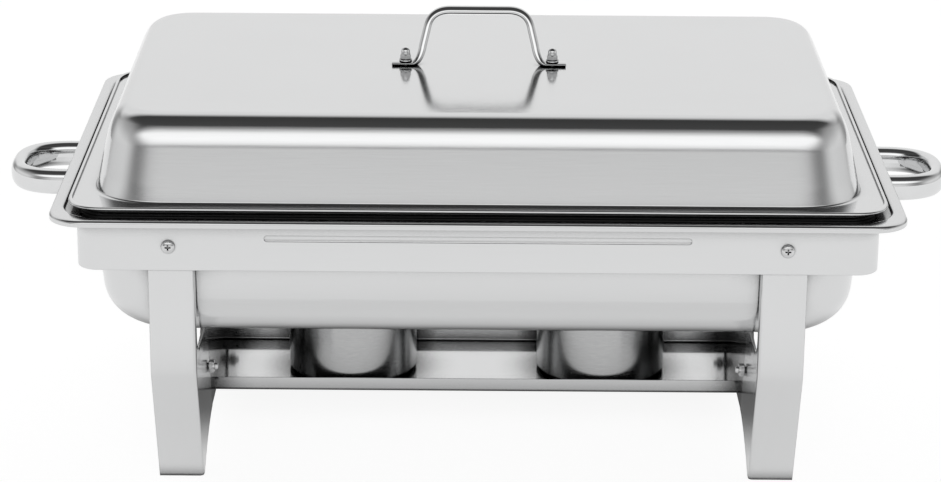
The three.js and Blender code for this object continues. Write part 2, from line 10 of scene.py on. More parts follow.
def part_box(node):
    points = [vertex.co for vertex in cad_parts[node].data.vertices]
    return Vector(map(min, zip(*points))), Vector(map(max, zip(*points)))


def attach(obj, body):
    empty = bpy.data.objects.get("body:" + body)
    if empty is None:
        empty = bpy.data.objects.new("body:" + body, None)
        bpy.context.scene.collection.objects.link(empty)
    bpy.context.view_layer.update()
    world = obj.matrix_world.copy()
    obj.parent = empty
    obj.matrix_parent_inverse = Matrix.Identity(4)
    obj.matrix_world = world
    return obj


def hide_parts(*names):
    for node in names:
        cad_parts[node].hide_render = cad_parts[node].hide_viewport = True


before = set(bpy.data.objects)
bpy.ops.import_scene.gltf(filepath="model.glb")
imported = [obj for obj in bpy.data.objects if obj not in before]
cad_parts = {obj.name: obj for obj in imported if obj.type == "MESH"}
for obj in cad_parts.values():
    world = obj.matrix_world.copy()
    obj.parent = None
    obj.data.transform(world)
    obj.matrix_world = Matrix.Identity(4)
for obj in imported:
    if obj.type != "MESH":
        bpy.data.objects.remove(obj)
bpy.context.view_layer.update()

MM = 0.001
ENDS = (("left", -1), ("right", 1))
SIDES = (("front", 1), ("rear", -1))


# ---------------------------------------------------------------- driving sizes, from the frame

def size_of(node):
    """Half sizes in x and y, and the lowest and highest z, in millimetres."""
    low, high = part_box(node)
    return (high[0] - low[0]) / 2 / MM, (high[1] - low[1]) / 2 / MM, low[2] / MM, high[2] / MM


def centre(node):
    """The middle of a node's box, in millimetres."""
    low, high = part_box(node)
    return [(a + b) / 2 / MM for a, b in zip(low, high)]


def extent(node):
    """The lowest and the highest corner of a node's box, in millimetres."""
    return [[v / MM for v in corner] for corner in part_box(node)]


WATER_X, WATER_Y, WATER_LOW, RIM_TOP = size_of("water_pan")
FOOD_X, FOOD_Y, FOOD_LOW, FOOD_TOP = size_of("food_pan")
LID_X, LID_Y, LID_LOW, PANEL_TOP = size_of("lid")
RING_X, RING_Y, RING_LOW, RING_TOP = size_of("frame_ring")
TRAY_X, TRAY_Y, TRAY_LOW, TRAY_TOP = size_of("burner_tray")
CUP_RADIUS, _, CUP_LOW, CUP_TOP = size_of("fuel_cup_right")
LEG_LOW, LEG_HIGH = extent("leg_front_right")
# How far the ledge in the water pan's rim lies under the rim, and how far the lid's top is crowned.
RECESS_DROP = 2.0
PANEL_RISE = 0.12
LID_TOP = PANEL_TOP - PANEL_RISE


# ---------------------------------------------------------------- mesh helpers

def finish_mesh(name, bm, material, sharp=40, bevel=0.0):
    """Turns a bmesh in millimetres into a smooth-shaded object in metres."""
    bmesh.ops.remove_doubles(bm, verts=bm.verts, dist=1e-4)
    bmesh.ops.recalc_face_normals(bm, faces=bm.faces)
    mesh = bpy.data.meshes.new(name)
    bm.to_mesh(mesh)
    bm.free()
    mesh.transform(Matrix.Scale(MM, 4))
    mesh.polygons.foreach_set("use_smooth", [True] * len(mesh.polygons))
    mesh.set_sharp_from_angle(angle=math.radians(sharp))
    mesh.materials.append(material)
    obj = bpy.data.objects.new(name, mesh)
    bpy.context.scene.collection.objects.link(obj)
    if bevel:
        edge = obj.modifiers.new("edge", "BEVEL")
        edge.width = bevel * MM
        edge.segments = 2
        edge.limit_method = "ANGLE"
        edge.angle_limit = math.radians(50)
    shade = obj.modifiers.new("normals", "WEIGHTED_NORMAL")
    shade.keep_sharp = True
    return obj


def ring_points(x, y, r, z, steps, power=2.0):
    """Points round a rectangle with round corners, counter-clockwise seen from above.

    A power over 2 eases each corner into its sides and keeps about the same corner cut.
    """
    cut_share = (1 - 0.5 ** 0.5) / (1 - 0.5 ** (1 / power))
    r = r * cut_share
    points = []
    for quarter, (cx, cy) in enumerate(((x - r, y - r), (r - x, y - r), (r - x, r - y), (x - r, r - y))):
        for i in range(steps + 1):
            angle = (quarter + i / steps) * math.pi / 2
            c, s = math.cos(angle), math.sin(angle)
            across = math.copysign(abs(c) ** (2 / power), c)
            along = math.copysign(abs(s) ** (2 / power), s)
            points.append((cx + r * across, cy + r * along, z))
    return points


def skin(loops, closed=False, caps=True):
    """A bmesh skinned over loops of points with the same count."""
    bm = bmesh.new()
    rings = [[bm.verts.new(p) for p in loop] for loop in loops]
    count = len(rings[0])
    pairs = list(zip(rings, rings[1:]))
    if closed:
        pairs.append((rings[-1], rings[0]))
    for lower, upper in pairs:
        for j in range(count):
            k = (j + 1) % count
            bm.faces.new((lower[j], lower[k], upper[k], upper[j]))
    if caps and not closed:
        bm.faces.new(list(reversed(rings[0])))
        bm.faces.new(rings[-1])
    return bm


def arc(centre, radius, start, stop, steps):
    """Points of an arc in degrees, ends included."""
    points = []
    for i in range(steps + 1):
        a = math.radians(start + (stop - start) * i / steps)
        points.append((centre[0] + radius * math.cos(a), centre[1] + radius * math.sin(a)))
    return points


def offset(path, distance):
    """An open 2-D path moved to its left, with mitred corners."""
    moved = []
    for i, p in enumerate(path):
        before = path[i - 1] if i else None
        after = path[i + 1] if i + 1 < len(path) else None
        a = (Vector(p) - Vector(before)).normalized() if before else None
        b = (Vector(after) - Vector(p)).normalized() if after else a
        a = a or b
        mitre = Vector((-a.y - b.y, a.x + b.x))
        mitre *= 2 * distance / mitre.length_squared
        moved.append((p[0] + mitre.x, p[1] + mitre.y))
    return moved


def shell(name, half_x, half_y, sheet, path, corners, material, bead=(), core=(), steps=16,
          power=2.0):
    """A pressed shell of even sheet. path holds (u, z): u is the offset outwards from the outline.

    corners holds (u, radius) pairs, between which the corner radius is interpolated. core holds
    rings (x, y, r, rise) that shape the flat middle before the path starts.
    """
    def radius(u):
        pairs = sorted(corners)
        for (u0, r0), (u1, r1) in zip(pairs, pairs[1:]):
            if u <= u1:
                t = max(0.0, (u - u0) / (u1 - u0))
                return r0 + (r1 - r0) * t
        return pairs[-1][1]

    def loop(point):
        u, z = point
        return ring_points(half_x + u, half_y + u, radius(u), z, steps, power)

    upper = offset(path, sheet)
    first_low, first_high = path[0][1], upper[0][1]
    low_core = [ring_points(x, y, r, first_low + rise, steps, power) for x, y, r, rise in core]
    high_core = [ring_points(x, y, r, first_high + rise, steps, power) for x, y, r, rise in core]
    loops = low_core + [loop(p) for p in path] + [loop(p) for p in bead]
    loops += [loop(p) for p in reversed(upper)] + list(reversed(high_core))
    return finish_mesh(name, skin(loops), material)


def lathe(profile, segments=64):
    """A bmesh turned round the z axis from a closed or axis-to-axis profile of (r, z)."""
    bm = bmesh.new()
    rings = []
    for r, z in profile:
        if r < 1e-6:
            rings.append([bm.verts.new((0, 0, z))])
            continue
        turn = [2 * math.pi * i / segments for i in range(segments)]
        rings.append([bm.verts.new((r * math.cos(a), r * math.sin(a), z)) for a in turn])
    closed = profile[0][0] > 1e-6
    pairs = list(zip(rings, rings[1:])) + ([(rings[-1], rings[0])] if closed else [])
    for lower, upper in pairs:
        for j in range(segments):
            k = (j + 1) % segments
            quad = [ring[n % len(ring)] for ring, n in ((lower, j), (lower, k), (upper, k), (upper, j))]
            bm.faces.new(list(dict.fromkeys(quad)))
    return bm


def sweep(path, section, up):
    """A bmesh of a section (side, lift) carried along a 3-D path that stays square to up."""
    loops = []
    for i, p in enumerate(path):
        before = path[max(i - 1, 0)]
        after = path[min(i + 1, len(path) - 1)]
        along = (Vector(after) - Vector(before)).normalized()
        side = along.cross(up).normalized()
        loops.append([tuple(Vector(p) + side * s + up * h) for s, h in section])
    return skin(loops)


def plate(outline, lift, bend=None):
    """A bmesh of a flat outline (a, b) given the thickness lift; bend maps (a, b, c) to space."""
    bm = bmesh.new()
    face = bm.faces.new([bm.verts.new((a, b, 0)) for a, b in outline])
    bmesh.ops.triangulate(bm, faces=[face], ngon_method="EAR_CLIP")
    made = bmesh.ops.extrude_face_region(bm, geom=list(bm.faces))
    for v in made["geom"]:
        if isinstance(v, bmesh.types.BMVert):
            v.co.z += lift
    if bend:
        for v in bm.verts:
            v.co = Vector(bend(*v.co))
    return bm


def moved(bm, x=0, y=0, z=0, turn=None):
    """Turns a bmesh (matrix) and then moves it, in millimetres."""
    if turn is not None:
        bm.transform(turn)
    bm.transform(Matrix.Translation((x, y, z)))
    return bm


def mirrored(bm, sx, sy):
    """Mirrors a bmesh in x and/or y."""
    bm.transform(Matrix.Diagonal((sx, sy, 1, 1)))
    return bm


def joined(parts):
    """One bmesh that holds several."""
    whole = parts[0]
    for part in parts[1:]:
        mesh = bpy.data.meshes.new("part")
        part.to_mesh(mesh)
        part.free()
        whole.from_mesh(mesh)
        bpy.data.meshes.remove(mesh)
    return whole


def cut(obj, bm):
    """Cuts a bmesh in millimetres from an object, ahead of its other modifiers."""
    mesh = bpy.data.meshes.new("cutter")
    bmesh.ops.recalc_face_normals(bm, faces=bm.faces)
    bm.to_mesh(mesh)
    bm.free()
    mesh.transform(Matrix.Scale(MM, 4))
    tool = bpy.data.objects.new("cutter", mesh)
    bpy.context.scene.collection.objects.link(tool)
    modifier = obj.modifiers.new("cut", "BOOLEAN")
    modifier.operation = "DIFFERENCE"
    modifier.object = tool
    modifier.solver = "EXACT"
    with bpy.context.temp_override(object=obj, active_object=obj):
        bpy.ops.object.modifier_move_to_index(modifier="cut", index=0)
        bpy.ops.object.modifier_apply(modifier="cut")
    bpy.data.objects.remove(tool)
    bpy.data.meshes.remove(mesh)


def place(obj, body, slot, *nodes):
    """Ties a finished piece to its body and hides the CAD nodes it stands for; slot is not used."""
    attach(obj, body)
    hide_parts(*nodes)


# ---------------------------------------------------------------- materials

def paint_crevice_shade(nodes, links, colour, crevice_shade):
    """Painted shade: the colour darkened by ambient occlusion in gaps, creases and under parts; the last
    argument holds a reach in mm and the openness from dark to clear.
    """
    distance, dark, clear = crevice_shade
    darkest_shade = 0.06
    reach = nodes.new("ShaderNodeAmbientOcclusion")
    reach.samples = 6
    reach.inputs["Distance"].default_value = distance * MM
    curve = nodes.new("ShaderNodeMapRange")
    curve.interpolation_type = "SMOOTHSTEP"
    curve.inputs["From Min"].default_value = dark
    curve.inputs["From Max"].default_value = clear
    curve.inputs["To Min"].default_value = darkest_shade
    links.new(reach.outputs["AO"], curve.inputs["Value"])
    crevice_shaded = nodes.new("ShaderNodeMix")
    crevice_shaded.data_type = "RGBA"
    crevice_shaded.blend_type = "MULTIPLY"
    crevice_shaded.inputs["Factor"].default_value = 1
    links.new(colour, crevice_shaded.inputs[6])
    links.new(curve.outputs["Result"], crevice_shaded.inputs[7])
    return crevice_shaded.outputs[2]


def steel(name, tone, rough, grain=(1, 60, 60), grain_depth=0.02, tone_change=0.03, rough_change=0.06,
          crevice_shade=(12, 0.1, 0.75)):
    """Stainless steel with a fine grain that runs along the axis whose grain scale is smallest, and
    painted shade in its gaps and creases.
    """
    line_share, dim, bright, smoothest = 0.7, 0.3, 0.7, 0.02
    material = bpy.data.materials.new(name)
    material.use_nodes = True
    tree = material.node_tree
    nodes, links = tree.nodes, tree.links
    shader = nodes["Principled BSDF"]
    shader.inputs["Metallic"].default_value = 1.0
    place_at = nodes.new("ShaderNodeTexCoord")
    stretch = nodes.new("ShaderNodeMapping")
    stretch.inputs["Scale"].default_value = [g * 10 for g in grain]
    links.new(place_at.outputs["Object"], stretch.inputs["Vector"])
    lines = nodes.new("ShaderNodeTexNoise")
    lines.inputs["Scale"].default_value = 3.0
    lines.inputs["Detail"].default_value = 4.0
    lines.inputs["Roughness"].default_value = 0.6
    links.new(stretch.outputs["Vector"], lines.inputs["Vector"])
    cloud = nodes.new("ShaderNodeTexNoise")
    cloud.inputs["Scale"].default_value = 14.0
    cloud.inputs["Detail"].default_value = 3.0
    links.new(place_at.outputs["Object"], cloud.inputs["Vector"])
    both = nodes.new("ShaderNodeMath")
    both.operation = "MULTIPLY_ADD"
    both.inputs[1].default_value = line_share
    links.new(lines.outputs["Fac"], both.inputs[0])
    share = nodes.new("ShaderNodeMath")
    share.operation = "MULTIPLY"
    share.inputs[1].default_value = 1 - line_share
    links.new(cloud.outputs["Fac"], share.inputs[0])
    links.new(share.outputs[0], both.inputs[2])
    colour = nodes.new("ShaderNodeValToRGB")
    colour.color_ramp.elements[0].position = dim
    colour.color_ramp.elements[1].position = bright
    for element, change in zip(colour.color_ramp.elements, (-tone_change, tone_change)):
        level = tone + change
        element.color = (level * 0.995, level, level * 1.004, 1)
    links.new(both.outputs[0], colour.inputs["Fac"])
    # Painted shade in gaps and creases goes into the base colour.
    links.new(paint_crevice_shade(nodes, links, colour.outputs["Color"], crevice_shade), shader.inputs["Base Color"])
    gloss = nodes.new("ShaderNodeMapRange")
    gloss.inputs["From Min"].default_value = dim
    gloss.inputs["From Max"].default_value = bright
    gloss.inputs["To Min"].default_value = max(smoothest, rough - rough_change)
    gloss.inputs["To Max"].default_value = rough + rough_change
    links.new(both.outputs[0], gloss.inputs["Value"])
    links.new(gloss.outputs["Result"], shader.inputs["Roughness"])
    bump = nodes.new("ShaderNodeBump")
    bump.inputs["Strength"].default_value = grain_depth
    bump.inputs["Distance"].default_value = 0.0005
    links.new(lines.outputs["Fac"], bump.inputs["Height"])
    links.new(bump.outputs["Normal"], shader.inputs["Normal"])
    return material


ALONG_X = (1, 50, 50)
ALONG_Z = (50, 50, 1)
FINE = {"grain_depth": 0.012, "tone_change": 0.012, "rough_change": 0.03}
# Every steel gets painted shade in its gaps; where given, the crevice numbers are the reach in mm and the
# openness from dark to clear.
LID_STEEL = steel("lid_steel", 0.71, 0.12, ALONG_X, tone_change=0.02, rough_change=0.02)
RAIL_STEEL = steel("rail_steel", 0.72, 0.17, ALONG_X, crevice_shade=(22, 0.55, 0.74), **FINE)
LEG_STEEL = steel("leg_steel", 0.71, 0.17, ALONG_Z, crevice_shade=(14, 0.3, 0.8), **FINE)
PAN_STEEL = steel("pan_steel", 0.7, 0.15, ALONG_X, crevice_shade=(22, 0.2, 0.85), **FINE)
# The cross panels' steel is toned down from the legs' as painted shade for their place under the pan.
SHADED_PANEL_STEEL = steel("shaded_panel_steel", 0.45, 0.14, ALONG_Z, crevice_shade=(40, 0.45, 0.95), **FINE)
# The food pan's steel is toned down from the others as painted shade for the slot under the lid's edge.
SHADED_FOOD_STEEL = steel("shaded_food_steel", 0.6, 0.16, ALONG_X, crevice_shade=(14, 0.45, 0.95), **FINE)
TRAY_STEEL = steel("tray_steel", 0.72, 0.09, ALONG_X, crevice_shade=(32, 0.5, 0.95), **FINE)
CUP_STEEL = steel("cup_steel", 0.52, 0.22, (6, 6, 60), tone_change=0.05)
BRIGHT_STEEL = steel("bright_steel", 0.74, 0.06, (4, 4, 4), **FINE)
SCREW_STEEL = steel("screw_steel", 0.66, 0.14, (20, 20, 20), tone_change=0.02, crevice_shade=(3, 0.3, 0.9))


# ---------------------------------------------------------------- pans and lid

def make_water_pan():
    """The deep outer pan: a round belly, a ledge for the food pan, a step up and an edge turned down."""
    sheet, bend, ledge_bend = 1.0, 1.2, 4
    wall, belly, mouth, mouth_z = -29, 35, -24.2, 181
    ledge, step_low, step_high, brim = -20.4, -9.6, -7.2, -2.2
    edge_u, edge_drop = -1.0, 4.4
    ledge_z = RIM_TOP - RECESS_DROP - sheet
    rim_z = RIM_TOP - sheet
    path = arc((wall - belly, WATER_LOW + belly), belly, -90, -4, 14)
    path += [(mouth, mouth_z)] + arc((ledge, ledge_z - ledge_bend), ledge_bend, 170, 90, 6)
    path += arc((step_low, ledge_z + bend), bend, -90, -35, 3)
    path += arc((step_high, rim_z - bend), bend, 145, 90, 3)
    path += arc((brim, rim_z - bend), bend, 90, 0, 5) + [(edge_u, RIM_TOP - edge_drop)]
    corners = [(wall - belly, 24), (wall, 42), (ledge, 38), (-9, 26), (0, 24)]
    pan = shell("water_pan_body", WATER_X, WATER_Y, sheet, path, corners, PAN_STEEL)
    place(pan, "water_pan", "satin_steel", "water_pan")


def make_food_pan():
    """The pan that holds the food: its flange lies on the water pan's ledge."""
    sheet, curve, bend, edge_bend = 0.8, 18, 3, 1.4
    wall, mouth, mouth_z, flange, edge = -19, -13.8, 186, -10, -0.8
    edge_gap = 0.3
    under = FOOD_TOP - sheet
    path = arc((wall - curve, FOOD_LOW + curve), curve, -90, -5, 9)
    path += [(mouth, mouth_z)] + arc((flange, under - bend), bend, 170, 90, 5)
    path += arc((edge - edge_bend, under - edge_bend), edge_bend, 90, 0, 4)
    path += [(edge, RIM_TOP - RECESS_DROP + edge_gap)]
    corners = [(wall - curve, 20), (wall, 34), (flange, 30), (-2, 18), (0, 18)]
    pan = shell("food_pan_body", FOOD_X, FOOD_Y, sheet, path, corners, SHADED_FOOD_STEEL)
    place(pan, "food_pan", "mirror_steel", "food_pan")


def make_lid():
    """The domed cover: a crowned top, a shoulder of two radii, a leaning wall, a flange and a bead."""
    sheet, fillet, slope = 0.8, 2.6, 13
    tight, broad, change = 13.2, 50, 30
    shoulder_u, flange_u, bead_u, bead = -40.4, -3.4, -1.3, 1.3
    inside = LID_TOP - sheet
    lean_tan = math.tan(math.radians(slope))
    wall = arc((shoulder_u, inside - tight), tight, 88, change, 12)
    sweep_u = wall[-1][0] - broad * math.cos(math.radians(change))
    sweep_z = wall[-1][1] - broad * math.sin(math.radians(change))
    wall += arc((sweep_u, sweep_z), broad, change, slope, 8)[1:]
    turn_z = LID_LOW + fillet - fillet * math.sin(math.radians(slope))
    turn_u = wall[-1][0] + (wall[-1][1] - turn_z) * lean_tan
    base = turn_u + fillet * math.cos(math.radians(slope))
    path = [(-50, inside), (-42, inside)] + wall
    # A few rows low on the straight wall keep its shading even down to the fillet.
    path += [(turn_u - h * lean_tan, turn_z + h) for h in (16, 12, 8)]
    path += arc((base, LID_LOW + fillet), fillet, 180 + slope, 270, 7)
    path += [(flange_u, LID_LOW), (flange_u + 1.8, LID_LOW)]
    edge = arc((bead_u, LID_LOW + bead), bead, -75, 130, 8)
    corners = [(-50, 16), (-41, 20), (-24, 36), (turn_u, 42), (base, 41), (-2, 24), (0, 23)]
    plateau, brim, rows = (75, 25, 12), (214, 109, 22), 12
    core = []
    for i in range(rows + 1):
        t = i / rows
        x, y, r = [a + (b - a) * t for a, b in zip(plateau, brim)]
        core.append((x, y, r, PANEL_RISE * (1 - t * t * (3 - 2 * t))))
    sizes = (LID_X, LID_Y, sheet)
    cover = shell("lid_dome", *sizes, path, corners, LID_STEEL, edge, core, steps=24, power=2.5)
    place(cover, "lid", "mirror_steel", "lid")


# ---------------------------------------------------------------- frame

def make_ring():
    """The rail round the frame: one sheet with a hem along its top and a groove in each long side."""
    sheet, hem, hem_depth = 1.2, 2.0, 1.6
    corner, fold, foot = 15, 1.4, 0.7
    inner = -sheet - hem
    path = arc((-foot, RING_LOW + foot), foot, -90, 0, 3)
    path += arc((-fold, RING_TOP - fold), fold, 0, 90, 5)
    path += [(inner, RING_TOP), (inner, RING_TOP - hem_depth), (-sheet, RING_TOP - hem_depth)]
    path += [(-sheet, RING_LOW)]
    loops = [ring_points(RING_X + u, RING_Y + u, corner + u, z, 12) for u, z in path]
    ring = finish_mesh("rail_ring", skin(loops, closed=True), RAIL_STEEL)
    for side in (-1, 1):
        cut(ring, groove(side))
    place(ring, "frame", "satin_steel", "frame_ring")


def groove(side):
    """A long shallow trough with round ends, sunk into a side rail."""
    half_length, half_height, depth, height = 140, 2.3, 0.8, 173
    rows, narrowest = 6, 0.02
    loops = []
    for i in range(rows + 1):
        tilt = math.pi / 2 * i / rows
        sink = math.sin(tilt) * depth
        reach = half_height * max(math.cos(tilt), narrowest)
        loop = []
        for end in (1, -1):
            for j in range(13):
                a = math.radians(-90 + 15 * j) + (0 if end > 0 else math.pi)
                x = end * half_length + reach * math.cos(a)
                z = height + reach * math.sin(a)
                loop.append((x, side * (RING_Y - sink), z))
        loops.append(loop)
    front = [(x, side * (RING_Y + 1), z) for x, _, z in loops[0]]
    return skin([front] + loops)


# Leg sizes, in millimetres, for the front leg of the +X end. The face lies behind the rail and the
# web stands at its inner edge. From the crease down, both lean in towards the foot.
LEG_SHEET = 1.2
LEG_OUTER = LEG_HIGH[0]
LEG_INNER = 189
LEG_FACE = -LEG_LOW[1]
LEG_TOP = LEG_HIGH[2]
CREASE = 75
FOOT_IN_X = LEG_INNER - LEG_LOW[0]
FOOT_IN_Y = 2.5
FOOT_TAPER = 1.3
SHOULDER = 150
WEB_REACH = -LEG_HIGH[1]
WEB_TOP = 88


def lean(z):
    """0 above the crease and 1 at the floor, with a soft turn at the crease."""
    soft = 1.5
    t = (CREASE - z) / CREASE
    s = soft / CREASE
    if t < -s:
        return 0.0
    if t < s:
        return (t + s) ** 2 / (4 * s)
    return t


def column_sheet(columns, levels):
    """A bmesh of one folded sheet: columns hold (place(z) -> point, low, high)."""
    bm = bmesh.new()
    grid = []
    for spot, low, high in columns:
        grid.append([bm.verts.new(spot(min(max(z, low), high))) for z in levels])
    for left, right in zip(grid, grid[1:]):
        for i in range(len(levels) - 1):
            quad = (left[i], right[i], right[i + 1], left[i + 1])
            if (quad[0].co - quad[3].co).length + (quad[1].co - quad[2].co).length > 1e-6:
                bm.faces.new(quad)
    bmesh.ops.remove_doubles(bm, verts=bm.verts, dist=1e-4)
    bmesh.ops.dissolve_degenerate(bm, edges=bm.edges, dist=1e-4)
    return bm


def leg_columns():
    """The columns of one leg: across its face, round the fold and along the web."""
    fold = 2.4
    mid_y = LEG_FACE - LEG_SHEET / 2
    mid_x = LEG_INNER + LEG_SHEET / 2
    columns = []

    def face_spot(x):
        def spot(z):
            share = (LEG_OUTER - x) / (LEG_OUTER - LEG_INNER)
            slide = FOOT_IN_X * (FOOT_TAPER + (1 - FOOT_TAPER) * share)
            return (x - slide * lean(z), -mid_y + FOOT_IN_Y * lean(z), z)
        return spot

    def fold_spot(angle):
        def spot(z):
            x = mid_x + fold - fold * math.sin(angle) - FOOT_IN_X * lean(z)
            y = -mid_y + fold - fold * math.cos(angle) + FOOT_IN_Y * lean(z)
            return (x, y, z)
        return spot

    def web_spot(y):
        def spot(z):
            fade = max(0, 1 - (y + mid_y) / 12)
            return (mid_x - FOOT_IN_X * lean(z), y + FOOT_IN_Y * lean(z) * fade, z)
        return spot

    def face_top(x):
        dome, drop = 10, 3
        reach = (LEG_OUTER - LEG_INNER) / 2
        middle = (LEG_OUTER + LEG_INNER) / 2
        inset = min(1, abs(x - middle) / reach)
        return LEG_TOP - dome + dome * math.sqrt(max(0, 1 - inset ** 4)) - drop * inset ** 4

    steps = 14
    first = mid_x + fold
    for i in range(steps + 1):
        t = i / steps
        x = LEG_OUTER - (LEG_OUTER - first) * (1 - math.cos(math.pi * t)) / 2
        columns.append((face_spot(x), 0.0, face_top(x)))
    for i in range(1, 6):
        top = face_top(LEG_INNER) if i < 3 else SHOULDER
        columns.append((fold_spot(math.radians(15 * i)), 0.0, top))
    web_start = -mid_y + fold
    foot_end = -mid_y + 9
    narrow, sweep = -LEG_FACE + 7, 14

    def web_low(y):
        lift, power = 18, 1.7
        t = min(1, max(0, (y - foot_end) / (-WEB_REACH - foot_end)))
        return lift * (1 - (1 - t) ** power)

    def web_high(y):
        rise = 12
        if y <= narrow:
            return SHOULDER
        t = min(1, (y - narrow) / sweep)
        return WEB_TOP + rise * (1 - math.sqrt(1 - (1 - t) ** 2))

    stops = [web_start, web_start + 2.5, narrow - 0.4, narrow]
    stops += [narrow + 0.01 + sweep * (1 - math.cos(math.pi / 2 * i / 7)) for i in range(8)]
    stops += [narrow + sweep + (-WEB_REACH - narrow - sweep) * i / 16 for i in range(1, 17)]
    for y in stops:
        columns.append((web_spot(y), web_low(y), web_high(y)))
    return columns


def make_legs():
    """Four folded brackets, with rows of vertices closest together at the crease and the round tops."""
    levels = [0, 2, 5, 10, 16, 24, 34, 44, 54, 64, 70, 73, 73.8, 74.4, 75, 75.6, 76.2, 77, 80, 84, 88]
    levels += [90, 92, 95, 100, 110, 130, 150, 160, 168, 171, 173, 175, 177, 178, 179, 180, 180.5, 181]
    for end, sx in ENDS:
        for side, sy in SIDES:
            bm = mirrored(column_sheet(leg_columns(), levels), sx, sy)
            name = f"leg_{side}_{end}"
            leg = finish_mesh(name + "_bracket", bm, LEG_STEEL, sharp=60)
            thick = leg.modifiers.new("sheet", "SOLIDIFY")
            thick.thickness = LEG_SHEET * MM
            thick.offset = 0
            with bpy.context.temp_override(object=leg, active_object=leg):
                bpy.ops.object.modifier_move_to_index(modifier="sheet", index=0)
            place(leg, f"{end}_legs", "satin_steel", name)


def make_cross_panels():
    """The two end panels, each with a notch for the tray, an arch below and a ledge in the notch."""
    low, high = extent("cross_panel_right")
    half, top = high[1], high[2]
    sheet, notch, sill, corner, arch_rise, side_gap = 1.2, 53, 20.2, 6, 3, 1
    at = LEG_INNER + 1.5
    outer = [(half - corner + a, top - corner + b) for a, b in arc((0, 0), corner, 0, 90, 6)]
    inner = [(notch + corner + a, top - corner + b) for a, b in arc((0, 0), corner, 90, 180, 6)]
    right = [(half, low[2] + arch_rise)] + outer + inner + [(notch, sill)]
    left = [(-a, b) for a, b in reversed(right)]
    across = (-0.8, -0.6, -0.4, -0.2, 0, 0.2, 0.4, 0.6, 0.8)
    arch = [(half * t, low[2] + arch_rise * t * t) for t in across]
    outline = right + left + arch

    def bend(a, b, c):
        return (at + c - FOOT_IN_X * lean(b), a, b)

    for end, sx in ENDS:
        panel = plate(outline, sheet, bend)
        start = at - FOOT_IN_X * lean(sill) + sheet / 2
        lip = [(start, sill), (start, sill - sheet), (high[0], sill - sheet), (high[0], sill)]
        ledge = plate(lip, 2 * (notch - side_gap), lambda a, b, c: (a, c - notch + side_gap, b))
        whole = mirrored(joined([panel, ledge]), sx, 1)
        piece = finish_mesh(f"cross_panel_{end}_sheet", whole, SHADED_PANEL_STEEL, bevel=0.25)
        place(piece, f"{end}_legs", "satin_steel", f"cross_panel_{end}")


# ---------------------------------------------------------------- handles

def oval(half_side, half_lift, power, count):
    """A rounded section: power 2 is an ellipse, larger is squarer."""
    points = []
    for i in range(count):
        a = 2 * math.pi * i / count
        c, s = math.cos(a), math.sin(a)
        points.append((
            half_side * math.copysign(abs(c) ** (2 / power), c),
            half_lift * math.copysign(abs(s) ** (2 / power), s),
        ))
    return points


def bezier(p0, p1, p2, p3, steps):
    """Points of a cubic curve without its first point."""
    points = []
    for i in range(1, steps + 1):
        t = i / steps
        weights = ((1 - t) ** 3, 3 * t * (1 - t) ** 2, 3 * t * t * (1 - t), t ** 3)
        points.append(tuple(sum(w * p[k] for w, p in zip(weights, (p0, p1, p2, p3))) for k in (0, 1)))
    return points


def make_end_handles():
    """The two loops at the ends, each of one oval bar with its ends against the rail."""
    thick, tall, squareness = 12, 18, 2.4
    turn_start, turn_end = 34, 30
    low, high = extent("end_handle_right")
    x0, x1, half = low[0], high[0] - thick / 2, high[1] - thick / 2
    z = (low[2] + high[2]) / 2
    for end, sx in ENDS:
        line = [(x0, -half), (x0 + 8, -half), (x1 - turn_start, -half)]
        turn = ((x1 - turn_start, -half), (x1 - 10, -half), (x1, -half + 12), (x1, -half + turn_end))
        line += bezier(*turn, 18)
        line += [(a, -b) for a, b in reversed(line)]
        path = [(a, b, z) for a, b in line]
        bar = sweep(path, oval(thick / 2, tall / 2, squareness, 28), Vector((0, 0, 1)))
        handle = finish_mesh(f"end_handle_{end}_bar", mirrored(bar, sx, 1), BRIGHT_STEEL, sharp=60)
        place(handle, "frame", "mirror_steel", f"end_handle_{end}")


def make_bail():
    """A round bar bent to an arch that leans back, with its ends hammered flat."""
    low, high = extent("lid_bail")
    bolt_x, bolt_y, _ = centre("bail_bolt_right")
    flat, bar, leg_x = 2.6, 5.4, 39.3
    foot_bend, leg_low, leg_high, lean_in, arch_start = 5, 12, 11, 3, 18.8
    foot_z, bar_z = low[2] + flat / 2, high[2] - bar / 2
    width = 2 * (bolt_y - low[1])
    back = high[1] - bar / 2 - bolt_y
    foot = (bolt_x - foot_bend, foot_z)
    leg_foot = (leg_x, foot_z + leg_low)
    leg_top = (leg_x - lean_in, bar_z - leg_high)
    arch = (leg_x - arch_start, bar_z)
    half = [(high[0], foot_z), (high[0] - 1, foot_z), (bolt_x, foot_z), foot]
    half += bezier(foot, (leg_x + 4.8, foot_z), (leg_x + 1.3, foot_z + 4), leg_foot, 14)
    half += [leg_top]
    half += bezier(leg_top, (leg_x - 4.7, bar_z - 3.7), (leg_x - 10, bar_z), arch, 14)
    line = half + [(0, bar_z)] + [(-x, z) for x, z in reversed(half)]
    path = [(x, 0, z) for x, z in line]
    bail = sweep(path, oval(bar / 2, bar / 2, 2, 24), Vector((0, 1, 0)))
    for v in bail.verts:
        share = min(1, max(0, (abs(v.co.x) - bolt_x + 10) / 6))
        share = share * share * (3 - 2 * share)
        v.co.y *= 1 + share * (width / bar - 1)
        v.co.z = foot_z + (v.co.z - foot_z) * (1 + share * (flat / bar - 1))
        v.co.y += bolt_y + back * max(0, (v.co.z - foot_z - flat / 2) / (bar_z - foot_z))
    handle = finish_mesh("bail_bar", bail, BRIGHT_STEEL, sharp=60)
    place(handle, "lid", "mirror_steel", "lid_bail")


# ---------------------------------------------------------------- fasteners

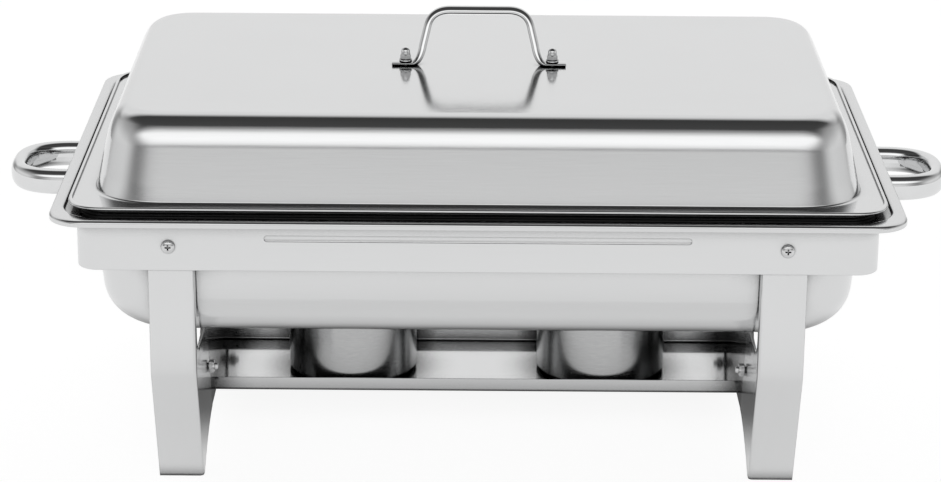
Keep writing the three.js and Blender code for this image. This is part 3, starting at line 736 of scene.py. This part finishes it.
# Radii of the M5 screws, in millimetres, and the width of their nuts over the flats.
SHANK = 2.4
SHANK_TIP = 1.9
HEAD = 4.5
NUT_FLATS = 8
BORE = 2.7


def hexagon(flats, z0, z1):
    """A hexagonal nut body with its corners turned off."""
    radius = flats / 2 / math.cos(math.pi / 6)
    inner = flats / 2 * 0.97
    rise = (radius - inner) * 0.55
    count = 48

    def loop(limit, z):
        points = []
        for i in range(count):
            a = 2 * math.pi * i / count
            side = (a + math.pi / 6) % (math.pi / 3) - math.pi / 6
            reach = flats / 2 / math.cos(side)
            r = min(reach, limit)
            points.append((r * math.cos(a), r * math.sin(a), z))
        return points

    return skin([loop(inner, z0), loop(radius, z0 + rise), loop(radius, z1 - rise), loop(inner, z1)])


TO_FRONT = Matrix.Rotation(math.radians(90), 4, "X")
TO_REAR = Matrix.Rotation(math.radians(-90), 4, "X")
TO_RIGHT = Matrix.Rotation(math.radians(90), 4, "Y")


def dome(radius, base, height, angles):
    """Profile points of a rounded top over the height base, at angles in degrees."""
    points = []
    for angle in angles:
        a = math.radians(angle)
        points.append((radius * math.cos(a), base + height * math.sin(a)))
    return points


def screw_head(radius, height):
    """A domed head whose top faces +z, with its seat at z = 0."""
    top = dome(radius, height * 0.3, height * 0.7, (0, 12, 25, 38, 50, 62, 75))
    return [(0, -1.0), (radius, 0)] + top + [(0, height)]


def cross_recess(height, reach, width):
    """The cutters for a cross recess that tapers inwards, from above the head."""
    outline = [(-reach, -width), (reach, -width), (reach, width), (-reach, width)]
    arms = []
    for turn in (0, math.pi / 2):
        loops = []
        for s, z in ((0.45, height - 1.5), (1.0, height + 1)):
            loops.append([(x * s, y * (0.6 + 0.4 * s), z) for x, y in outline])
        arm = skin(loops)
        arm.transform(Matrix.Rotation(turn, 4, "Z"))
        arms.append(arm)
    return arms


def make_pivots():
    """The four screws that the legs turn on, each with a shank, a washer and a nut."""
    height, seat = 2.6, RING_Y + 0.15
    recess_reach, recess_width = 2.7, 0.6
    for end, _ in ENDS:
        for side, sy in SIDES:
            name = f"{side}_{end}"
            x, _, z = centre(f"pivot_screw_{name}")
            turn = TO_FRONT if sy > 0 else TO_REAR
            cap = lathe(screw_head(HEAD, height), 40)
            head = finish_mesh(f"pivot_head_{name}", cap, SCREW_STEEL, sharp=50)
            for arm in cross_recess(height, recess_reach, recess_width):
                cut(head, arm)
            to_mm, to_m = Matrix.Scale(1 / MM, 4), Matrix.Scale(MM, 4)
            head.data.transform(to_m @ Matrix.Translation((x, -sy * seat, z)) @ turn @ to_mm)
            shank = lathe([(0, -12.5), (2.1, -12.5), (SHANK, -12), (SHANK, 0), (0, 0)], 24)
            shank = moved(shank, x, -sy * (seat - 0.1), z, turn)
            body = finish_mesh(f"pivot_shank_{name}", shank, SCREW_STEEL)
            place(head, "frame", "plated_steel", f"pivot_screw_{name}")
            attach(body, "frame")
            washer = lathe([(BORE, -0.4), (5, -0.4), (5, 0.4), (BORE, 0.4)], 40)
            washer = moved(washer, *centre(f"pivot_washer_{name}"), turn)
            ring = finish_mesh(f"pivot_washer_{name}_ring", washer, SCREW_STEEL)
            place(ring, "frame", "plated_steel", f"pivot_washer_{name}")
            nut = moved(hexagon(NUT_FLATS, -1.35, 1.35), *centre(f"pivot_nut_{name}"), turn)
            piece = finish_mesh(f"pivot_nut_{name}_hex", nut, SCREW_STEEL, sharp=30)
            place(piece, "frame", "plated_steel", f"pivot_nut_{name}")


def lengthwise_span(node):
    """The middle y and z of a node, and its nearest and farthest x without their sign."""
    low, high = extent(node)
    near, far = sorted((abs(low[0]), abs(high[0])))
    return (low[1] + high[1]) / 2, (low[2] + high[2]) / 2, near, far


def make_web_bolts():
    """The four bolts and nuts that hold the legs' webs to the cross panels."""
    for end, sx in ENDS:
        for side, _ in SIDES:
            name = f"{side}_{end}"
            y, z, inner, outer = lengthwise_span(f"web_bolt_{name}")
            seat = outer - 2.6
            profile = [(0, inner), (SHANK_TIP, inner), (SHANK, inner + 0.6), (SHANK, seat), (HEAD, seat)]
            profile += [(HEAD, seat + 1)] + dome(HEAD, seat + 1, 1.6, (20, 40, 60, 75)) + [(0, outer)]
            bolt = mirrored(moved(lathe(profile, 32), 0, y, z, TO_RIGHT), sx, 1)
            piece = finish_mesh(f"web_bolt_{name}_body", bolt, SCREW_STEEL, sharp=45)
            place(piece, f"{end}_legs", "plated_steel", f"web_bolt_{name}")
            nut = moved(hexagon(NUT_FLATS, -2, 2), *centre(f"web_nut_{name}"), TO_RIGHT)
            piece = finish_mesh(f"web_nut_{name}_hex", nut, SCREW_STEEL, sharp=30)
            place(piece, f"{end}_legs", "plated_steel", f"web_nut_{name}")


def make_end_screws():
    """The four screws from inside the rail into the ends of the end handles."""
    for end, sx in ENDS:
        for side, _ in SIDES:
            name = f"end_handle_screw_{side}_{end}"
            y, z, inner, outer = lengthwise_span(name)
            seat = inner + 2.6
            profile = [(0, inner), (2.6, inner + 0.3), (4, inner + 1), (HEAD, inner + 2), (HEAD, seat)]
            profile += [(SHANK, seat), (SHANK, outer - 0.6), (SHANK_TIP, outer), (0, outer)]
            screw = mirrored(moved(lathe(profile, 32), 0, y, z, TO_RIGHT), sx, 1)
            piece = finish_mesh(name + "_body", screw, SCREW_STEEL, sharp=45)
            place(piece, "frame", "plated_steel", name)


def make_bail_fasteners():
    """A bolt from below, a washer and an acorn nut at each foot of the bail."""
    for end, _ in ENDS:
        x, y, _ = centre(f"bail_bolt_{end}")
        low, high = extent(f"bail_bolt_{end}")
        base, seat = low[2], low[2] + 2.6
        profile = [(0, base), (3.4, base), (HEAD, base + 0.9), (HEAD, seat), (SHANK, seat)]
        profile += [(SHANK, high[2]), (0, high[2])]
        bolt = finish_mesh(f"bail_bolt_{end}_body", moved(lathe(profile, 32), x, y), SCREW_STEEL, sharp=45)
        place(bolt, "lid", "plated_steel", f"bail_bolt_{end}")
        low, high = extent(f"bail_washer_{end}")
        outer = (high[0] - low[0]) / 2
        profile = [(BORE, low[2]), (outer - 0.1, low[2]), (outer, low[2] + 0.15), (outer, high[2] - 0.15)]
        profile += [(outer - 0.1, high[2]), (BORE, high[2])]
        washer = finish_mesh(f"bail_washer_{end}_ring", moved(lathe(profile, 40), x, y), SCREW_STEEL)
        place(washer, "lid", "plated_steel", f"bail_washer_{end}")
        low, high = extent(f"bail_acorn_nut_{end}")
        base, flats, hex_height, radius = low[2], high[0] - low[0], 3.6, 3.1
        hex_top = base + hex_height
        crown = high[2] - base - hex_height
        profile = [(0, base + 3), (radius - 0.05, base + 3), (radius, hex_top + crown * 0.3)]
        profile += dome(radius, hex_top + crown * 0.3, crown * 0.7, (12, 24, 36, 48, 60, 72, 82))
        profile += [(0, high[2])]
        nut = joined([hexagon(flats, base, hex_top), lathe(profile, 40)])
        acorn = finish_mesh(f"bail_acorn_nut_{end}_body", moved(nut, x, y), BRIGHT_STEEL, sharp=30)
        place(acorn, "lid", "plated_steel", f"bail_acorn_nut_{end}")


# ---------------------------------------------------------------- burner tray and cups

def make_tray():
    """The long tray between the cross panels, with upright lips and mitred ends."""
    sheet, turn, mitre = 1.0, 1.6, 4.0
    lip = TRAY_TOP - TRAY_LOW
    path = [(TRAY_Y, TRAY_TOP)] + arc((TRAY_Y - turn, TRAY_LOW + turn), turn, 0, -90, 5)
    half = path + [(0, TRAY_LOW)]
    outer = half + [(-y, z) for y, z in reversed(half[:-1])]
    inner = offset(list(reversed(outer)), -sheet)
    section = outer + inner

    def reach(z):
        return TRAY_X - mitre * max(0, z - TRAY_LOW - sheet) / (lip - sheet)

    stations = (-1, -0.98, -0.5, 0, 0.5, 0.98, 1)
    loops = [[(s * reach(z), y, z) for y, z in section] for s in stations]
    tray = finish_mesh("burner_tray_sheet", skin(loops), TRAY_STEEL, sharp=50)
    place(tray, "burner_tray", "mirror_steel", "burner_tray")


def make_cups():
    """The two drawn cups, each with its cover and damper."""
    for end, _ in ENDS:
        x = centre(f"fuel_cup_{end}")[0]
        make_cup(end, x)
        make_cover(end, x)
        make_damper(end, x)


def make_cup(end, x):
    """A cup with a dished base, a round heel and a rolled mouth."""
    radius, sheet, heel, dish, mouth = CUP_RADIUS - 0.7, 0.9, 3, 0.6, 0.9
    base, top = CUP_LOW, CUP_TOP
    profile = [(0, base + dish), (radius - 9, base + dish), (radius - 7.5, base)]
    profile += arc((radius - heel, base + heel), heel, -90, 0, 6)
    profile += [(radius, top - 3.2), (radius + 0.1, top - 2.2)]
    profile += arc((CUP_RADIUS - mouth, top - mouth), mouth, -60, 150, 7)
    profile += [(radius - sheet, top - 1.2), (radius - sheet, base + 4), (radius - 3.5, base + 1.2)]
    profile += [(0, base + dish + sheet)]
    cup = finish_mesh(f"fuel_cup_{end}_body", moved(lathe(profile, 96), x), CUP_STEEL)
    place(cup, f"{end}_cup", "brushed_steel", f"fuel_cup_{end}")


def make_cover(end, x):
    """A ring on the cup's mouth, with a skirt inside it."""
    low, high = extent(f"cup_cover_{end}")
    outer, hole, sheet, edge = (high[0] - low[0]) / 2, 22, 0.9, 0.3
    wall = CUP_RADIUS - 1.8
    seat = CUP_TOP + 0.3
    profile = [(hole, seat + edge), (hole + 0.4, seat), (wall - sheet, seat), (wall - sheet, low[2])]
    profile += [(wall, low[2]), (wall, seat), (outer - edge, seat), (outer, seat + edge)]
    profile += [(outer, high[2] - edge), (outer - 0.4, high[2]), (hole + 1, high[2])]
    profile += [(hole, high[2] - edge)]
    cover = finish_mesh(f"cup_cover_{end}_ring", moved(lathe(profile, 96), x), CUP_STEEL)
    place(cover, f"{end}_cover", "brushed_steel", f"cup_cover_{end}")


def make_damper(end, x):
    """A disc with an ear round its rivet and a small tongue opposite."""
    low, high = extent(f"damper_{end}")
    radius, pivot_y, ear, tongue = (high[0] - low[0]) / 2, 33, 5, 9
    start = math.degrees(math.asin(ear / radius))
    outline = arc((0, 0), radius, 90 + start, 270 - tongue, 24)
    outline += [(-4, low[1] + 2), (-2.5, low[1]), (2.5, low[1]), (4, low[1] + 2)]
    outline += arc((0, 0), radius, tongue - 90, 90 - start, 24)
    outline += arc((0, pivot_y), ear, 0, 180, 12)
    disc = moved(plate(outline, high[2] - low[2]), x, 0, low[2])
    piece = finish_mesh(f"damper_{end}_disc", disc, CUP_STEEL, bevel=0.2)
    place(piece, f"{end}_damper", "brushed_steel", f"damper_{end}")
    low, high = extent(f"damper_rivet_{end}")
    z0, z1, head, pin = low[2], high[2], 3, 1.3
    profile = [(0, z0), (head - 0.3, z0), (head, z0 + 0.3), (head, z0 + 0.9), (pin, z0 + 0.9)]
    profile += [(pin, z1 - 1.1), (head, z1 - 1.1), (head - 0.2, z1 - 0.7), (2.1, z1 - 0.25)]
    profile += [(1.1, z1 - 0.05), (0, z1)]
    rivet = finish_mesh(f"damper_rivet_{end}_body", moved(lathe(profile, 28), x, pivot_y), SCREW_STEEL)
    place(rivet, f"{end}_cover", "plated_steel", f"damper_rivet_{end}")


# ---------------------------------------------------------------- studio

def make_floor():
    """A pale floor that glows a little: evenly where the camera sees it, and in reflections with a painted
    shadow under the object and a painted fall-off towards the viewer.
    """
    span, open_from, open_to = 2.5, 0.2, 0.36
    beside_level, seen_level, radius, depth = 0.84, 0.9, 2600, 0.5
    material = bpy.data.materials.new("studio_floor")
    material.use_nodes = True
    nodes, links = material.node_tree.nodes, material.node_tree.links
    shader = nodes["Principled BSDF"]
    shader.inputs["Base Color"].default_value = (0.25, 0.25, 0.25, 1)
    shader.inputs["Roughness"].default_value = 0.9
    shader.inputs["Specular IOR Level"].default_value = 0.1
    shader.inputs["Emission Color"].default_value = (1, 1, 1, 1)
    spot = nodes.new("ShaderNodeTexCoord")
    split = nodes.new("ShaderNodeSeparateXYZ")
    links.new(spot.outputs["Object"], split.inputs["Vector"])
    across = nodes.new("ShaderNodeMapRange")
    across.inputs["From Min"].default_value = -span
    across.inputs["From Max"].default_value = span
    links.new(split.outputs["Y"], across.inputs["Value"])
    glow_with_painted_shadow = nodes.new("ShaderNodeValToRGB")
    # Brightness over the distance behind the object's middle, in metres; the low stretch from -0.05 to
    # 0.34 is a painted shadow under the object.
    levels = (
        (-2.4, 0.5), (-0.9, 0.8), (-0.5, 0.86), (-0.385, 0.86), (-0.34, 0.73), (-0.18, 0.76),
        (-0.12, 0.6), (-0.05, 0.1), (0.34, 0.1), (0.55, 0.6), (0.8, 0.86), (2.4, 0.8),
    )
    elements = glow_with_painted_shadow.color_ramp.elements
    while len(elements) < len(levels):
        elements.new(0.5)
    for element, (at, level) in zip(elements, levels):
        element.position = (at + span) / (2 * span)
        element.color = (level, level, level, 1)
    links.new(across.outputs["Result"], glow_with_painted_shadow.inputs["Fac"])
    beside = nodes.new("ShaderNodeMath")
    beside.operation = "ABSOLUTE"
    links.new(split.outputs["X"], beside.inputs[0])
    open_air = nodes.new("ShaderNodeMapRange")
    open_air.interpolation_type = "SMOOTHSTEP"
    open_air.inputs["From Min"].default_value = open_from
    open_air.inputs["From Max"].default_value = open_to
    links.new(beside.outputs[0], open_air.inputs["Value"])
    # Beside the object the painted shadow gives way to an even glow.
    under = nodes.new("ShaderNodeMix")
    links.new(open_air.outputs["Result"], under.inputs["Factor"])
    links.new(glow_with_painted_shadow.outputs["Color"], under.inputs["A"])
    under.inputs["B"].default_value = beside_level
    # The camera sees an even glow; reflections see the painted shadow and fall-off.
    seen = nodes.new("ShaderNodeLightPath")
    strength = nodes.new("ShaderNodeMix")
    links.new(seen.outputs["Is Camera Ray"], strength.inputs["Factor"])
    links.new(under.outputs["Result"], strength.inputs["A"])
    strength.inputs["B"].default_value = seen_level
    links.new(strength.outputs["Result"], shader.inputs["Emission Strength"])
    bm = lathe([(0, -depth), (radius, -depth), (radius, 0), (0, 0)], 96)
    floor = finish_mesh("floor", bm, material)


def sky_ramp(nodes, links, angle, levels):
    """A grey ramp over an angle in radians; levels holds (degrees, brightness)."""
    place_at = nodes.new("ShaderNodeMapRange")
    place_at.inputs["From Min"].default_value = -math.pi
    place_at.inputs["From Max"].default_value = math.pi
    links.new(angle, place_at.inputs["Value"])
    ramp = nodes.new("ShaderNodeValToRGB")
    elements = ramp.color_ramp.elements
    while len(elements) < len(levels):
        elements.new(0.5)
    for element, (degrees, level) in zip(elements, levels):
        element.position = (degrees + 180) / 360
        element.color = (level / 2, level / 2, level / 2, 1)
    links.new(place_at.outputs["Result"], ramp.inputs["Fac"])
    return ramp.outputs["Color"]


def make_world():
    """A studio tent: a bright wall behind, a bright bank in front, a dark roof and grey ends."""
    world = bpy.data.worlds.new("studio")
    bpy.context.scene.world = world
    world.use_nodes = True
    nodes, links = world.node_tree.nodes, world.node_tree.links
    background = nodes["Background"]
    direction = nodes.new("ShaderNodeTexCoord")
    split = nodes.new("ShaderNodeSeparateXYZ")
    links.new(direction.outputs["Generated"], split.inputs["Vector"])

    def math_node(operation, first, second=None):
        node = nodes.new("ShaderNodeMath")
        node.operation = operation
        for socket, value in zip(node.inputs, (first, second)):
            if isinstance(value, (int, float)):
                socket.default_value = value
            elif value is not None:
                links.new(value, socket)
        return node.outputs[0]

    x, y, z = split.outputs
    over = math_node("ARCTAN2", z, math_node("MULTIPLY", y, -1))
    rise = math_node("ARCSINE", z)
    # Brightness over the angle in degrees: 0 is level in front, 90 straight up, 180 level behind.
    along = (
        (-180, 0.92), (-90, 0.8), (-8, 0.72), (2, 0.8), (8, 0.84), (10.5, 0.7), (12, 0.35),
        (13.4, 0.45), (16, 1.1), (23, 1.35), (33, 1.3), (40, 0.4), (46, 0.07), (104, 0.05),
        (117, 0.6), (128, 0.92), (180, 0.92),
    )
    ends = ((-180, 0.8), (-5, 0.72), (8, 0.85), (22, 0.5), (45, 0.12), (90, 0.05), (180, 0.05))
    lengthwise = sky_ramp(nodes, links, over, along)
    endwise = sky_ramp(nodes, links, rise, ends)
    side = nodes.new("ShaderNodeMapRange")
    side.interpolation_type = "SMOOTHSTEP"
    side.inputs["From Min"].default_value = 0.5
    side.inputs["From Max"].default_value = 0.88
    links.new(math_node("ABSOLUTE", x), side.inputs["Value"])
    blend = nodes.new("ShaderNodeMix")
    blend.data_type = "RGBA"
    links.new(side.outputs["Result"], blend.inputs["Factor"])
    links.new(lengthwise, blend.inputs[6])
    links.new(endwise, blend.inputs[7])
    low = nodes.new("ShaderNodeMapRange")
    low.interpolation_type = "SMOOTHSTEP"
    low.inputs["From Min"].default_value = math.radians(26)
    low.inputs["From Max"].default_value = math.radians(12)
    links.new(rise, low.inputs["Value"])
    curtain = nodes.new("ShaderNodeValToRGB")
    curtain.color_ramp.interpolation = "B_SPLINE"
    folds = ((0.0, 1.0), (0.34, 1.0), (0.56, 0.42), (0.74, 0.35), (0.9, 1.0), (1.0, 1.0))
    while len(curtain.color_ramp.elements) < len(folds):
        curtain.color_ramp.elements.new(0.5)
    for element, (at, level) in zip(curtain.color_ramp.elements, folds):
        element.position = at
        element.color = (level, level, level, 1)
    links.new(math_node("ABSOLUTE", x), curtain.inputs["Fac"])
    shaded = nodes.new("ShaderNodeMix")
    shaded.data_type = "RGBA"
    shaded.blend_type = "MULTIPLY"
    links.new(low.outputs["Result"], shaded.inputs["Factor"])
    links.new(blend.outputs[2], shaded.inputs[6])
    links.new(curtain.outputs["Color"], shaded.inputs[7])
    links.new(shaded.outputs[2], background.inputs["Color"])
    background.inputs["Strength"].default_value = 2.0
    plain = nodes.new("ShaderNodeBackground")
    plain.inputs["Color"].default_value = (1, 1, 1, 1)
    seen = nodes.new("ShaderNodeLightPath")
    mix = nodes.new("ShaderNodeMixShader")
    links.new(seen.outputs["Is Camera Ray"], mix.inputs["Fac"])
    links.new(background.outputs["Background"], mix.inputs[1])
    links.new(plain.outputs["Background"], mix.inputs[2])
    links.new(mix.outputs["Shader"], nodes["World Output"].inputs["Surface"])


def make_camera():
    """The camera that was fitted to the photo: a long lens, in front of and above the dish."""
    stand = (-0.005, -2.045, 0.822)
    down, roll = 19.04, 0.42
    data = bpy.data.cameras.new("camera")
    data.sensor_width = 36
    data.lens = 114.75
    camera = bpy.data.objects.new("camera", data)
    bpy.context.scene.collection.objects.link(camera)
    pitch = Matrix.Rotation(math.radians(90 - down), 4, "X")
    tilt = Matrix.Rotation(math.radians(roll), 4, "Z")
    camera.matrix_world = Matrix.Translation(stand) @ pitch @ tilt
    bpy.context.scene.camera = camera


make_camera()
make_world()
make_floor()
make_water_pan()
make_food_pan()
make_lid()
make_ring()
make_legs()
make_cross_panels()
make_end_handles()
make_bail()
make_pivots()
make_web_bolts()
make_end_screws()
make_bail_fasteners()
make_tray()
make_cups()
bpy.context.scene.view_settings.view_transform = "Standard"


def plain(box):
    return [[float(v) for v in corner] for corner in box]
